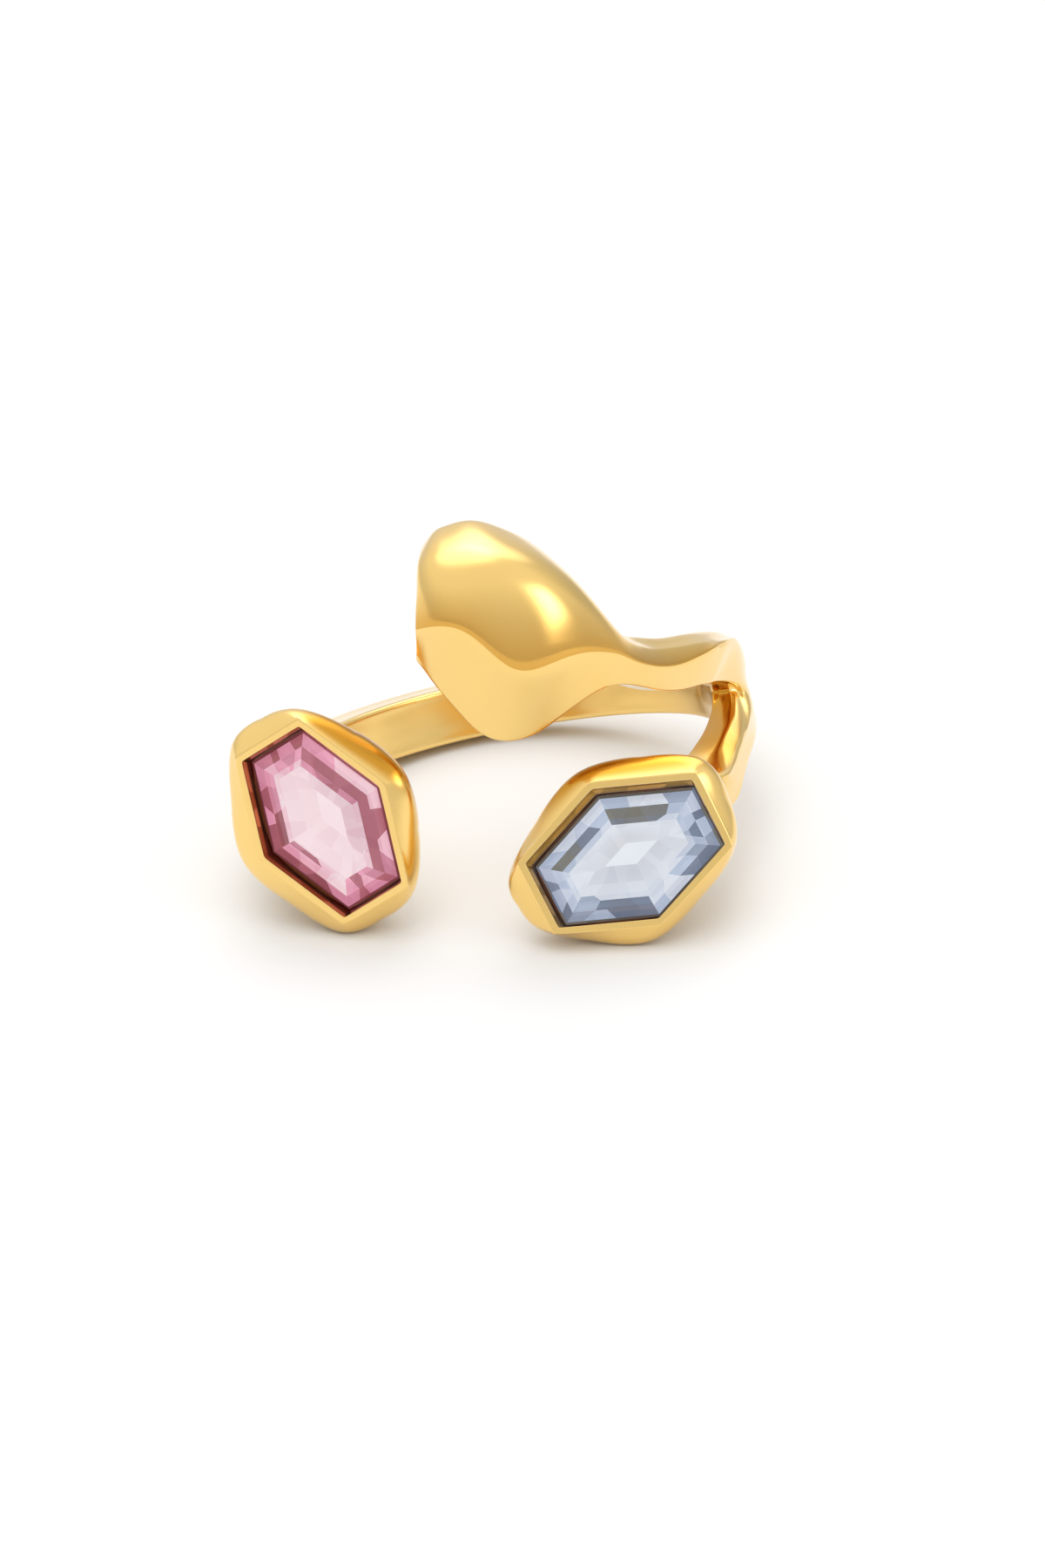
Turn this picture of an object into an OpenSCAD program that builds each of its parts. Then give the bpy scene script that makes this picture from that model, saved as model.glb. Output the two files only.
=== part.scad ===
// Open, forked ring cast in polished gold tone, with a pink and a blue hexagonal crystal.
// The ring frame has the finger's axis along Z and the open front towards -Y.
// Angles are counted round the finger from the front, towards +X. The ring rests on z = 0.

/* [Ring] */
// Inside diameter of the finger hole
bore_d = 17.3; // [16:0.1:19]
// Width of the plain shank along the finger
shank_w = 2.4; // [2:0.1:3]
// Thickness of the plain shank
shank_t = 1.65; // [1.4:0.05:2]

/* [Crystals] */
// Length of a crystal's opening between its end edges
crystal_l = 7.94; // [7:0.02:8.4]
// Width of the opening over its two side corners
crystal_w = 6.18; // [5.6:0.02:6.6]
// Length of each end edge
crystal_end = 3.08; // [2.6:0.02:3.4]
// Depth of the table below the bezel's lip
table_drop = 0.4; // [0.2:0.02:0.5]
// Height of the crown from girdle to table
crown_h = 0.5; // [0.3:0.05:0.6]
// Height of the girdle
girdle_h = 0.12; // [0.08:0.02:0.2]
// Depth of the pavilion below the girdle
pavilion_h = 1.55; // [1:0.05:1.7]
// Inset of the table from the girdle
table_inset = 1.2; // [0.8:0.05:1.5]
// Gap between a crystal and its seat
seat_gap = 0.06; // [0.04:0.01:0.1]

/* [Heads] */
// Width of the bezel's flat lip
lip_w = 0.3; // [0.2:0.05:0.4]
// How far the bezel's wall swells beyond the opening
swell = 0.94; // [0.8:0.02:1.1]
// Height of a head from its back to the lip
head_h = 4.4; // [4:0.1:5]

/* [Rest] */
// Turn of the resting ring about X
rest_x = -15.7; // [-18:0.1:-14]
// Turn of the resting ring about Y
rest_y = -5.6; // [-8:0.1:-4]

/* [Hidden] */
bore_r = bore_d / 2;
shank_r = bore_r + shank_t;
shank_z = shank_w / 2;
// Steps between two rows of a table and round a soft corner
stations = 4;
head_stations = 2;
corner_steps = 3;
// How far a section reaches into the finger hole, which is cut last
core_depth = 0.7;
bore_h = 60;
bore_steps = 96;
// Radius of a lip's centre
lip_r = bore_r + 3.55;
girdle_top = table_drop + crown_h;
girdle_base = girdle_top + girdle_h;
// Step between a crown's two rows of facets, and between a pavilion's two, as shares
crown_break = 0.45;
pavilion_break = 0.55;
pavilion_inset = 0.9;
culet_inset = 2.2;
// Well of a head: narrower at the girdle than at the lip, cut from above the lip
wall_taper = 0.22;
wall_foot = 0.15;
mouth_gap = 0.02;
mouth_over = 0.05;
// The nugget's free end leans: from this angle on, about this height
lean_from = 4;
lean_z = 8;
end_lean = 0.075;
rest_shift = [1.085, 1.614, 4.023];

// How far each corner of a head's swelling is pushed from an even hexagon, along and across.
PINK_PUSH = [[0.25, -0.34], [0.24, 0.59], [0.02, 0.28], [-0.09, 0.54], [-0.04, -0.38], [-0.04, 0.48]];
BLUE_PUSH = [[0.22, 0.03], [-0.32, 0.22], [-0.40, -0.84], [-0.15, 0.76], [-0.73, -0.19], [-0.30, 0.12]];

// Heads: angle, radius and height of the lip's centre, the way the face looks
// (azimuth and elevation), spin of the long axis from upright, pushes of the swelling
// and shift of the crystal in its well.
PINK = [-45.4, lip_r, -0.4, -18, 2, 23, PINK_PUSH, [-0.09, 0.13]];
BLUE = [17.4, lip_r, -3.6, -6, -4, -73, BLUE_PUSH, [0.00, -0.26]];

// Outside of a head: depth below the lip, growth beyond the opening, rounding of corners
// and share of the swelling's pushes.
HEAD_ROWS = [
    [0.00, lip_w, 0.06, 0.0],
    [0.30, swell - 0.32, 0.18, 0.6],
    [0.65, swell - 0.06, 0.28, 1.0],
    [1.05, swell, 0.36, 1.0],
    [1.70, swell - 0.20, 0.42, 1.0],
    [2.80, swell - 0.65, 0.45, 0.7],
    [head_h, -0.50, 0.46, 0.4]
];

// Shank and lower arm, from the blue head round the back to the pink head:
// angle, radius outside, height of the lower edge, of the upper outer edge and of the upper inner edge.
SHANK_ROWS = [
    [38, shank_r + 1.30, -4.2, -1.9, -1.7],
    [46, shank_r + 1.00, -3.75, -1.75, -1.45],
    [54, shank_r + 0.60, -3.2, -1.7, -1.1],
    [62, shank_r + 0.25, -2.6, -1.2, -0.6],
    [70, shank_r + 0.08, -2.0, -0.6, -0.15],
    [78, shank_r + 0.05, -1.6, -0.1, 0.25],
    [88, shank_r, -1.3, 0.5, 0.7],
    [98, shank_r, -1.2, 0.9, 1.0],
    [110, shank_r, -shank_z, shank_z, shank_z],
    [150, shank_r, -shank_z, shank_z, shank_z],
    [195, shank_r, -shank_z, shank_z, shank_z],
    [238, shank_r, -shank_z, shank_z, shank_z],
    [256, shank_r + 0.10, -shank_z - 0.05, shank_z + 0.05, shank_z],
    [272, shank_r + 0.60, -1.6, 1.5, 1.4],
    [286, shank_r + 1.40, -2.2, 2.0, 1.9],
    [300, shank_r + 1.90, -2.6, 2.4, 2.3]
];
SHANK_ROUND = [0.12, 0.16, 0.16, 0.12];

// Upper arm and nugget, from inside the shank to the free end: angle, then radius beyond the bore
// and height of the lower edge, the crest, the shoulder above it and the top.
NUGGET_ROWS = [
    [118, 1.30, -0.90, 1.45, -0.10, 1.45, 0.60, 1.20, 0.90],
    [106, 1.35, -0.50, 1.50, 0.50, 1.50, 1.20, 1.20, 1.55],
    [96, 1.35, 0.00, 1.50, 1.20, 1.45, 1.90, 1.10, 2.20],
    [86, 1.35, 0.55, 1.55, 1.95, 1.45, 2.50, 1.00, 2.80],
    [76, 1.35, 1.05, 1.75, 2.60, 1.55, 2.95, 0.90, 3.35],
    [66, 1.35, 1.55, 1.95, 3.05, 1.70, 3.25, 0.80, 3.75],
    [56, 1.35, 1.83, 1.95, 3.20, 1.60, 3.60, 0.80, 4.05],
    [46, 1.35, 2.02, 1.95, 3.15, 1.60, 3.85, 0.90, 4.30],
    [37, 1.35, 2.40, 2.05, 3.45, 1.75, 4.20, 1.00, 4.75],
    [30, 1.35, 2.90, 2.40, 4.00, 2.30, 4.90, 1.20, 5.30],
    [25, 1.35, 3.15, 2.90, 4.60, 3.00, 6.00, 1.50, 6.75],
    [20, 1.35, 3.15, 3.40, 4.95, 3.70, 7.15, 1.70, 8.50],
    [14, 1.35, 2.75, 3.55, 5.15, 4.20, 8.10, 1.80, 9.75],
    [8, 1.35, 2.15, 3.60, 4.95, 4.40, 8.70, 1.80, 10.40],
    [2, 1.35, 1.88, 3.60, 5.25, 4.40, 9.10, 1.80, 10.95],
    [-4, 1.40, 2.50, 3.55, 6.90, 4.20, 9.20, 1.80, 11.15],
    [-9, 1.50, 4.30, 3.45, 7.45, 3.80, 9.30, 1.80, 11.00],
    [-13, 1.60, 5.45, 2.90, 7.45, 2.90, 9.50, 1.70, 10.85],
    [-16, 1.70, 6.45, 2.10, 7.30, 2.10, 9.00, 1.50, 9.95]
];
NUGGET_ROUND = [0.10, 0.22, 0.08, 0.46, 0.42, 0.10];

// A point round the finger: angle, radius and height.
function around(angle, r, z) = [r * sin(angle), -r * cos(angle), z];

// One value of a smooth curve between b and c, with a and d as its neighbours.
function glide(a, b, c, d, t) =
    0.5 * (2 * b + (c - a) * t + (2 * a - 5 * b + 4 * c - d) * t * t
    + (3 * b - a - 3 * c + d) * t * t * t);

// A table's rows with more rows worked out between them.
function finer(rows, n) = [
    for (i = [0:len(rows) - 2])
        let (last = len(rows) - 1)
            for (k = [0:n - 1])
                glide(rows[max(i - 1, 0)], rows[i], rows[i + 1], rows[min(i + 2, last)], k / n),
    rows[len(rows) - 1]
];

// A closed loop whose corners are curves; each starts at its own share of the two sides.
function soften(loop, shares, n) = [
    for (i = [0:len(loop) - 1])
        let (
            m = len(loop),
            p = loop[i],
            from = p + (loop[(i + m - 1) % m] - p) * shares[i],
            to = p + (loop[(i + 1) % m] - p) * shares[i]
        )
            for (k = [0:n])
                let (t = k / n)
                    from * (1 - t) * (1 - t) + p * 2 * t * (1 - t) + to * t * t
];

// An elongated hexagon grown outwards by d on every side.
function hexagon(d) =
    let (
        l = crystal_l / 2,
        e = crystal_end / 2,
        slope = (crystal_w / 2 - e) / l,
        w = crystal_w / 2 + d * sqrt(1 + slope * slope),
        corner = w - slope * (l + d)
    )
        [[l + d, corner], [0, w], [-l - d, corner], [-l - d, -corner], [0, -w], [l + d, -corner]];

// A flat loop set at height z.
function ring_of(loop, z) = [for (p = loop) [p[0], p[1], z]];

function even(share) = [for (i = [0:5]) share];

// A solid through a list of rings with equally many points each.
module loft(rings) {
    n = len(rings[0]);
    m = len(rings);
    sides = [
        for (i = [0:m - 2], j = [0:n - 1])
            let (a = i * n + j, b = i * n + (j + 1) % n)
                each [[a, b, a + n], [b, b + n, a + n]]
    ];
    first = [for (j = [n - 1:-1:0]) j];
    last = [for (j = [0:n - 1]) (m - 1) * n + j];
    polyhedron(points = [for (r = rings) each r], faces = concat([first], sides, [last]), convexity = 8);
}

// Section across the shank or the lower arm at one row.
function shank_ring(row) =
    let (
        angle = row[0],
        outer = row[1],
        low = row[2],
        high_outer = row[3],
        high_inner = row[4],
        inner = bore_r - core_depth,
        loop = [[inner, low], [inner, high_inner], [outer, high_outer], [outer, low]]
    )
        [for (p = soften(loop, SHANK_ROUND, corner_steps)) around(angle, p[0], p[1])];

// Section across the upper arm or the nugget at one row.
function nugget_ring(row) =
    let (
        angle = row[0],
        lower = [bore_r + row[1], row[2]],
        crest = [bore_r + row[3], row[4]],
        shoulder = [bore_r + row[5], row[6]],
        top = [bore_r + row[7], row[8]],
        inner = bore_r - core_depth,
        loop = [[inner, lower[1]], lower, crest, shoulder, top, [inner, top[1]]],
        lean = end_lean * max(0, lean_from - angle)
    )
        [
            for (p = soften(loop, NUGGET_ROUND, corner_steps))
                around(angle + lean * (p[1] - lean_z), p[0], p[1])
        ];

module shank_and_lower_arm() {
    rows = finer(SHANK_ROWS, stations);
    loft([for (i = [len(rows) - 1:-1:0]) shank_ring(rows[i])]);
}

module upper_arm_and_nugget() {
    rows = finer(NUGGET_ROWS, stations);
    loft([for (i = [len(rows) - 1:-1:0]) nugget_ring(rows[i])]);
}

// Places a head's own frame: lip at z = 0, face along +Z, long axis along X.
module at_head(h) {
    azimuth = h[3];
    elevation = h[4];
    spin = h[5];
    translate(around(h[0], h[1], h[2]))
        rotate([0, 0, azimuth])
            rotate([90 + elevation, 0, 0])
                rotate([0, 0, 90 + spin])
                    children();
}

module head(h) {
    pushes = h[6];
    at_head(h)
        loft([
            for (row = finer(HEAD_ROWS, head_stations))
                let (
                    depth = row[0],
                    growth = row[1],
                    rounding = row[2],
                    share = row[3],
                    loop = hexagon(growth) + pushes * share
                )
                    ring_of(soften(loop, even(rounding), corner_steps), -depth)
        ]);
}

// A ring of a crystal, or of its seat when it is opened by a gap: inset from the girdle and depth.
function step_ring(h, inset, depth, gap = 0) =
    let (shift = h[7])
        ring_of([for (p = hexagon(gap - wall_taper - inset)) p + shift], -depth - gap);

module crystal(h) {
    at_head(h)
        loft([
            step_ring(h, table_inset, table_drop),
            step_ring(h, table_inset * crown_break, table_drop + crown_h * crown_break),
            step_ring(h, 0, girdle_top),
            step_ring(h, 0, girdle_base),
            step_ring(h, pavilion_inset, girdle_base + pavilion_h * pavilion_break),
            step_ring(h, culet_inset, girdle_base + pavilion_h)
        ]);
}

// Recess of a head: a tapered well over a pocket that follows the crystal's back.
module well(h) {
    at_head(h)
        loft([
            ring_of(hexagon(mouth_gap), mouth_over),
            step_ring(h, 0, girdle_top - wall_foot, seat_gap),
            step_ring(h, 0, girdle_base, seat_gap),
            step_ring(h, pavilion_inset, girdle_base + pavilion_h * pavilion_break, seat_gap),
            step_ring(h, culet_inset, girdle_base + pavilion_h, seat_gap)
        ]);
}

module at_rest() {
    translate(rest_shift) rotate([rest_x, rest_y, 0]) children();
}

module ring_body() {
    color("gold")
        at_rest()
            difference() {
                resize([0, 0, 0])
                    difference() {
                        union() {
                            shank_and_lower_arm();
                            upper_arm_and_nugget();
                            head(PINK);
                            head(BLUE);
                        }
                        well(PINK);
                        well(BLUE);
                    }
                cylinder(h = bore_h, r = bore_r, center = true, $fn = bore_steps);
            }
}

module pink_crystal() {
    color("pink") at_rest() crystal(PINK);
}

module blue_crystal() {
    color("lightsteelblue") at_rest() crystal(BLUE);
}

ring_body();
pink_crystal();
blue_crystal();
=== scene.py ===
"""Looks of an open, forked cast ring with a pink and a blue crystal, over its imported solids.

The cast body is one quad cage under a Subdivision Surface. Its loops follow tables of sections
round the finger, in millimetres in the ring's own frame: the finger's axis is Z, angle 0 is the
open front (-Y) and 90 degrees is +X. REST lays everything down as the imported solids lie.
"""

import math

import bmesh
import bpy
from bpy.props import FloatProperty, FloatVectorProperty, IntProperty, PointerProperty
from mathutils import Matrix, Vector


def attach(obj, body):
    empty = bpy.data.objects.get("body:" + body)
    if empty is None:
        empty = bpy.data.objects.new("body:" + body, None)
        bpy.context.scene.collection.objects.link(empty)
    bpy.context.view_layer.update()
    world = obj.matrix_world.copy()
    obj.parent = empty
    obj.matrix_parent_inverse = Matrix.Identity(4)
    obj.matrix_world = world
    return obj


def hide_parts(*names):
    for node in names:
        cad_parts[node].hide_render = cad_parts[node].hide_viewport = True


bl_info = {
    "name": "Crystal Ring",
    "version": (1, 0, 0),
    "blender": (4, 5, 0),
    "location": "View3D > Sidebar > Ring",
    "description": "Builds the cast body, the two crystals and the stage of an open ring",
    "category": "Object",
}

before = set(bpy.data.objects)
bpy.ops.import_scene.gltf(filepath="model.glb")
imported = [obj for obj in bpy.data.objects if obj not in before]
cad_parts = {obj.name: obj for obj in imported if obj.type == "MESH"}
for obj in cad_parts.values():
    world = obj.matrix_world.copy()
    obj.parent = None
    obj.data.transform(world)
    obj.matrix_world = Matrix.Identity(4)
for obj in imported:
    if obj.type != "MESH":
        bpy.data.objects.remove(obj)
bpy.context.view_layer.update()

# Where the ring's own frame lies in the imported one, in metres, and its lean about Y and X in
# degrees.
REST_PLACE = (0.001085, 0.001614, 0.004023)
REST_LEAN = (-5.6, -15.7)
MILLIMETRE = 0.001
REST = (
    Matrix.Translation(REST_PLACE)
    @ Matrix.Rotation(math.radians(REST_LEAN[0]), 4, "Y")
    @ Matrix.Rotation(math.radians(REST_LEAN[1]), 4, "X")
    @ Matrix.Scale(MILLIMETRE, 4)
)

# Shapes, tones and lights, in millimetres and degrees where no other unit is named

# Radius of the finger hole, and where the lips of the two heads stand.
BORE = 8.65
LIP = BORE + 3.55
# How far from an edge the rounding starts on the shank and inside the upper arm, the same on the
# lower arm, and how many times as far it starts outside.
SHANK_CORNER = 0.16
ARM_CORNER = 0.15
OUTER_CORNER = 1.3

# Angle, outer radius, lowest z, highest z outside and inside.
SHANK_ROWS = [
    (76, 10.33, -1.65, 3.10, 3.30),
    (84, 10.32, -1.42, 2.72, 2.90),
    (90, 10.30, -1.28, 2.36, 2.50),
    (98, 10.30, -1.20, 1.92, 2.02),
    (106, 10.30, -1.20, 1.50, 1.56),
    (116, 10.30, -1.20, 1.24, 1.26),
    (128, 10.30, -1.20, 1.20, 1.20),
    (180, 10.30, -1.20, 1.20, 1.20),
    (238, 10.30, -1.20, 1.20, 1.20),
    (256, 10.40, -1.25, 1.25, 1.20),
    (272, 10.90, -1.60, 1.50, 1.40),
    (286, 11.70, -2.20, 2.00, 1.90),
    (300, 12.20, -2.60, 2.40, 2.30),
]
# Where the shank's loops stand after the one at the fork. Then the section whose inside ends it,
# and where that stands against the pink head.
SHANK_ANGLES = [105, 114, 125, 140, 157, 174, 191, 208, 225, 240, 252, 263, 273, 282, 290]
SHANK_END = (300, 303)
# Angle of each of the 20 points of the loop at the fork. Then the two of them that end the crotch
# and the points between those, each as angle, radius beyond the bore and z.
FORK_ANGLES = [97, 94, 90, 84, 90, 93, 95, 95, 95, 94, 92, 90, 87, 84, 86, 89, 93, 95, 96, 97]
FORK_INNER = (84, 0.0, 0.60)
FORK_OUTER = (84, 1.62, 0.42)
CROTCH = [(82.3, 0.38, 0.62), (80, 0.84, 0.66), (81.5, 1.20, 0.56)]

# Angle, outer radius, lowest z, highest z outside and inside, then the ridge along the top: its
# radius beyond the bore and its z.
LOWER_ARM_ROWS = [
    (38, 11.60, -4.20, -1.90, -1.70, 0.80, -1.72),
    (46, 11.30, -3.75, -1.85, -1.48, 1.00, -1.56),
    (54, 10.90, -3.20, -1.78, -1.20, 1.15, -1.36),
    (62, 10.55, -2.60, -1.25, -0.82, 1.18, -0.80),
    (70, 10.38, -2.00, -0.70, -0.42, 1.08, -0.32),
    (78, 10.35, -1.60, -0.05, 0.00, 0.95, 0.10),
    (88, 10.30, -1.30, 0.45, 0.60, 0.85, 0.58),
]
# Each loop's angle and how far its points turn from there at most, each point's share of that,
# and the arm's end, as for the shank.
LOWER_ARM_LOOPS = [(87, -17), (78, -15), (69.5, -10), (61, -6), (53, -3), (46, 0)]
LOWER_ARM_SKEW = [0, 0.2, 0.4, 0.6, 0.7, 0.85, 1, 1, 0.65, 0.3, 0.1, 0, 0, 0]
LOWER_ARM_END = (38, 33)
# How sharp the ridge and the edge outside it stay from loop to loop.
RIDGE_CREASES = (0.5, 0.5, 0.45, 0.2, 0)
EDGE_CREASES = (0.2, 0.2, 0.15, 0.1, 0)
# How much shade is painted on the gold at each loop, inside the ridge and outside it, and down in
# the crotch.
STRIP_SHADES = (0.5, 0.5, 0.5, 0.5, 0.35, 0.05, 0)
BAND_SHADES = (0, 0.2, 0.3, 0.34, 0.3, 0.1, 0)
CROTCH_SHADE = 0.6

# Angle, then radius beyond the bore and z of the lower edge, crest, shoulder and top.
NUGGET_ROWS = [
    (-15.5, 2.33, 6.20, 3.00, 7.40, 3.05, 8.95, 1.30, 10.60),
    (-12, 2.28, 5.08, 3.60, 7.52, 3.65, 9.05, 1.15, 11.20),
    (-9, 2.23, 4.25, 3.90, 7.54, 3.90, 9.05, 1.05, 11.35),
    (-4, 2.15, 2.63, 4.05, 7.00, 4.10, 8.95, 1.05, 11.47),
    (2, 2.15, 2.03, 4.10, 5.35, 4.20, 8.85, 1.05, 11.28),
    (8, 2.25, 2.33, 4.02, 5.05, 4.15, 8.40, 1.05, 10.72),
    (14, 2.60, 2.95, 3.78, 5.24, 3.90, 7.80, 1.10, 9.92),
    (20, 2.75, 3.38, 3.40, 5.03, 3.45, 6.95, 1.15, 8.60),
    (25, 2.55, 3.33, 3.05, 4.65, 2.95, 5.90, 1.15, 6.85),
    (30, 2.25, 3.00, 2.70, 4.03, 2.42, 4.90, 1.10, 5.35),
    (37, 1.85, 2.44, 2.28, 3.45, 1.88, 4.20, 1.00, 4.75),
    (46, 1.50, 2.02, 1.95, 3.15, 1.62, 3.85, 0.90, 4.30),
    (56, 1.35, 1.83, 1.93, 3.20, 1.60, 3.60, 0.80, 4.05),
    (66, 1.25, 1.55, 1.85, 3.00, 1.68, 3.30, 0.80, 3.75),
    (76, 1.05, 1.05, 1.72, 2.45, 1.66, 2.95, 0.95, 3.35),
    (86, 1.05, 0.55, 1.68, 1.80, 1.62, 2.40, 1.05, 2.80),
]
# The loops of the upper arm and the nugget, as for the lower arm.
NUGGET_LOOPS = [
    (84, -16), (75, -13), (67, -9), (59, -5), (52, -2), (45, 0), (39, 0), (34, 0), (29.5, 0),
    (25.5, 0), (21.5, 0), (17, 0), (12, 0), (7, 0), (2, 0), (-3, 0), (-7.5, 0), (-11.2, 0),
    (-13.8, 0), (-15.2, 0),
]
NUGGET_SKEW = [0.45, 0.25, 0.1, 0, 0, 0, 0.05, 0.15, 0.3, 0.6, 1, 1, 0.8, 0.6]
# The end leans from this angle on, away from this height: degrees a millimetre above it and
# below it, for each degree of the way. Then how sharp its outer rim stays.
END_FROM = 4
END_HEIGHT = 8
END_LEAN = (0.02, 0.08)
END_CREASE = 0.5
# The angles between which the arm widens into the nugget.
WIDENS = (34, 22)
# On the arm, and how much more on the nugget: how far the inside's top lies below the top, how
# round the brow and the shoulder are, and how far the lower edge's two points lie off it.
TOP_DROP = (0.2, 0.25)
BROW_ROUNDING = (0.10, 0.34)
EDGE_OUTSIDE = (0.09, -0.04)
EDGE_BELOW = (0.13, -0.05)
# How far along the nugget's top and bottom the first point from the finger hole lies.
INNER_SHARE = 0.12
# How far the nugget's dome stands out between its top and its shoulder, over their distance.
DOME = 0.08
# How sharp the crest and the shoulder stay at most, and the angles between which that starts
# and ends.
CREST_CREASE = 0.8
SHOULDER_CREASE = 0.6
CREST_STARTS = (70, 56)
SHOULDER_STARTS = (70, 58)
SHOULDER_ENDS = (24, 36)
# How much shade is painted on the gold from the brow down to the crest, and the angles
# between which that starts.
BOWL_SHADES = (0.0, 0.0, 0.09, 0.35)
BOWL_STARTS = (78, 58)

# How often the cage is corrected so that the smooth surface runs through its points.
SETTLE_ROUNDS = 5
# Length in metres of an edge that counts as tight, and the share of it that its ends may move.
TIGHT_EDGE = 0.0002
TIGHT_SHARE = 0.4
# How often the joints between the heads and the arm or the shank are relaxed.
JOINT_ROUNDS = 6

# Length and width of a seat's opening, and the length of its two end sides.
OPENING_LENGTH = 7.94
OPENING_WIDTH = 6.18
OPENING_END = 3.08
# How far inside the opening a crystal's girdle lies, and how deep a head is at most.
GIRDLE_INSET = 0.22
HEAD_DEPTH = 4.4
# How finely the finger hole is looked for along a head's depth, and in how many steps: down from
# the last of its first loops, and up from its back.
DEPTH_STEP = 0.05
STEPS_DOWN = 55
STEPS_UP = 90
# Depth and inset from the girdle of a crystal's steps, from the table to the culet.
CRYSTAL_STEPS = [
    (0.400, 1.20),
    (0.480, 0.96),
    (0.625, 0.54),
    (0.850, 0.11),
    (0.930, 0.00),
    (1.020, 0.00),
    (1.446, 0.45),
    (1.8725, 0.90),
    (2.200, 1.51),
    (2.570, 2.20),
]
# How many of the steps' rings are glass; the foiled back starts below them.
GLASS_STEPS = 5
# Facets on each side of the hexagon, how far their ends stray along it, and the waves of that.
SIDE_PARTS = 4
PART_SLANT = 0.08
SLANT_WAVES = (1.7, 2.3, 1.1)
# How deep the colour is on each side's four parts: table edge, inner step, outer step, rim.
# These tones paint the facets' light and dark: partly the crystals' own colour, partly painted
# shade and painted reflection.
PINK_TONES = [
    (0.05, 0.00, 0.15, 0.10, 0.55, 0.65, 0.15, 0.00, 0.30, 0.60, 0.30, 0.40,
     0.10, 0.00, 0.00, 0.05, 0.45, 0.60, 0.55, 0.40, 0.10, 0.30, 0.20, 0.10),
    (0.35, 0.45, 0.75, 0.78, 0.35, 0.25, 0.15, 0.02, 0.35, 0.60, 0.25, 0.50,
     0.60, 0.66, 0.60, 0.62, 0.66, 0.62, 0.68, 0.60, 0.30, 0.48, 0.36, 0.22),
    (0.42, 0.64, 0.30, 0.66, 0.74, 0.60, 0.78, 0.42, 0.45, 0.62, 0.40, 0.60,
     0.50, 0.20, 0.60, 0.16, 0.10, 0.14, 0.34, 0.42, 0.70, 0.42, 0.74, 0.52),
    (0.96, 0.94, 0.95, 0.96, 0.96, 0.96, 0.95, 0.96, 0.92, 0.90, 0.90, 0.94,
     0.94, 0.92, 0.90, 0.88, 0.80, 0.76, 0.80, 0.88, 0.96, 0.97, 0.97, 0.96),
]
BLUE_TONES = [
    (0.15, 0.76, 0.80, 0.74, 0.12, 0.24, 0.20, 0.35, 0.16, 0.10, 0.14, 0.12,
     0.45, 0.05, 0.02, 0.06, 0.05, 0.00, 0.05, 0.20, 0.20, 0.42, 0.26, 0.30),
    (0.34, 0.82, 0.88, 0.84, 0.30, 0.66, 0.80, 0.84, 0.24, 0.30, 0.18, 0.26,
     0.40, 0.62, 0.66, 0.60, 0.10, 0.02, 0.30, 0.50, 0.36, 0.60, 0.30, 0.24),
    (0.48, 0.04, 0.12, 0.34, 0.10, 0.24, 0.14, 0.34, 0.28, 0.56, 0.36, 0.60,
     0.50, 0.38, 0.66, 0.64, 0.30, 0.12, 0.58, 0.62, 0.50, 0.30, 0.60, 0.24),
    (0.92, 0.94, 0.94, 0.94, 0.90, 0.90, 0.92, 0.92, 0.70, 0.80, 0.64, 0.84,
     0.88, 0.94, 0.96, 0.97, 0.98, 0.98, 0.96, 0.94, 0.84, 0.64, 0.84, 0.66),
]
# The foil's tone on each of the six sides, for each step down from the girdle; it darkens the
# foil's colour and its painted glow.
FOIL_TONES = [
    (0.35, 0.30, 0.40, 0.30, 0.25, 0.30),
    (0.20, 0.12, 0.25, 0.15, 0.10, 0.22),
    (0.10, 0.05, 0.12, 0.30, 0.15, 0.08),
    (0.00, 0.06, 0.04, 0.45, 0.20, 0.02),
]
# How much the foil's tone, and so its painted glow, varies from facet to facet, and the wave of
# that.
FACET_STIR = 0.10
STIR_WAVE = 2.4
# Where along the tone the three middle colours of a crystal's glass stand.
TONE_STOPS = (0.3, 0.6, 0.85)
GLASS_IOR = 1.56
# How strongly the foil glows, a painted light that stands in for light through the glass, how
# much of its colour it mirrors, and how soft and fine that is.
FOIL_PAINTED_GLOW = 0.78
FOIL_SILVER = 0.45
FOIL_ROUGHNESS = (0.3, 0.45)
FOIL_GRAIN = 500
# The painted shade at which the gold takes its deep colour; at 1 it takes the seats' brown,
# also painted shade.
DEEP_AT = 0.5
# How much clear lacquer lies on the gold where no shade is painted, which makes the lamps'
# reflections paler.
LACQUER = 0.8
# Detail of the polish's broad and fine noise, how much finer that is, and the broad one's range.
POLISH_DETAIL = (3, 5)
POLISH_FINER = 9
POLISH_RANGE = (0.3, 0.7)
# Scale of the gold's polish, how far its roughness wanders, the depth of its waves in metres, and
# its colour where the polish is deeper.
GOLD_GRAIN = 260
GOLD_WANDER = 1.5
GOLD_WAVES = 4e-7
GOLD_DEEPER = (0.97, 0.93, 0.84)

# How many columns of points run down a head: three at each corner and one on each side.
COLUMNS = 24
# Depth, growth, corner rounding and share of the pushes of a head's outside.
HEAD_ROWS = [
    (0.00, 0.28, 0.07, 0.0),
    (0.30, 0.62, 0.18, 0.6),
    (0.65, 0.88, 0.28, 1.0),
    (1.05, 0.94, 0.36, 1.0),
    (1.70, 0.74, 0.42, 1.0),
    (2.80, 0.29, 0.45, 0.7),
    (HEAD_DEPTH, -0.50, 0.46, 0.4),
]
# Depths of the first loops of a head's outside, and shares of the rest of the way for the
# others. Then how sharp the lip stays.
HEAD_LOOPS = (0.0, 0.12, 0.34, 0.65, 1.05, 1.70)
HEAD_ENDS = (0.5, 1.0)
LIP_CREASE = 0.45
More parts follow.
